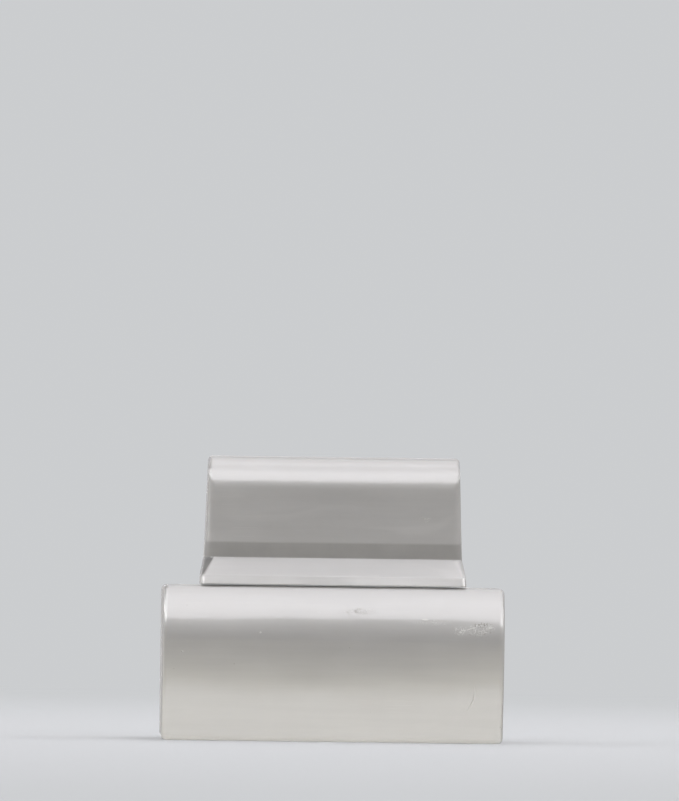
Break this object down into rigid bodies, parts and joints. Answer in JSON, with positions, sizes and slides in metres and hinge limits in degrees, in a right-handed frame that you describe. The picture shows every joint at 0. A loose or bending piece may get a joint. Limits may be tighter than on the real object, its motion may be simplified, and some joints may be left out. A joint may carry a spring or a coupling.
{
  "type": "magnetic glass cleaner",
  "caption": "Magnetic aquarium glass cleaner: a dry handle half with a felt pad and a floating wet half with a hook scrubbing pad, held face to face through the tank wall.",
  "frame": {"origin": "middle of the flat outer face of the floating half, which is the bottom centre of the closed pair", "axes": "+X along the blocks, +Y across them, +Z along the magnet axis from the wet half to the dry half"},
  "size_m": [0.082, 0.042, 0.0684],
  "materials": {
    "casing_white": "glossy moulded",
    "plate_white": "satin moulded",
    "weld_bead": "glossy solvent weld",
    "ferrite": "matte sintered ferrite",
    "magnet_frame": "moulded satin",
    "keeper_steel": "zinc-plated",
    "potting_resin": "cast resin",
    "adhesive_film": "tacky film",
    "backing_tape": "woven tape",
    "hook_pile": "stiff hook pile",
    "felt": "needled felt"
  },
  "bodies": {
    "wet_half": {"float_shell": "casing_white", "float_base_plate": "plate_white", "float_weld_bead": "weld_bead", "float_magnet_left": "ferrite", "float_magnet_right": "ferrite", "float_magnet_frame": "magnet_frame", "float_keeper_plate": "keeper_steel", "float_potting": "potting_resin", "float_pad_adhesive": "adhesive_film", "scrub_pad_backing": "backing_tape", "scrub_pad_hooks": "hook_pile"},
    "dry_half": {"handle_shell": "casing_white", "handle_base_plate": "plate_white", "handle_weld_bead": "weld_bead", "handle_magnet_left": "ferrite", "handle_magnet_right": "ferrite", "handle_magnet_frame": "magnet_frame", "handle_keeper_plate": "keeper_steel", "handle_potting": "potting_resin", "handle_pad_adhesive": "adhesive_film", "felt_pad": "felt"}
  },
  "joints": [
    {"name": "dry_half_lift", "type": "slide", "parent": "wet_half", "child": "dry_half", "axis": [0, 0, 1], "range_m": [0, 0.06]}
  ]
}
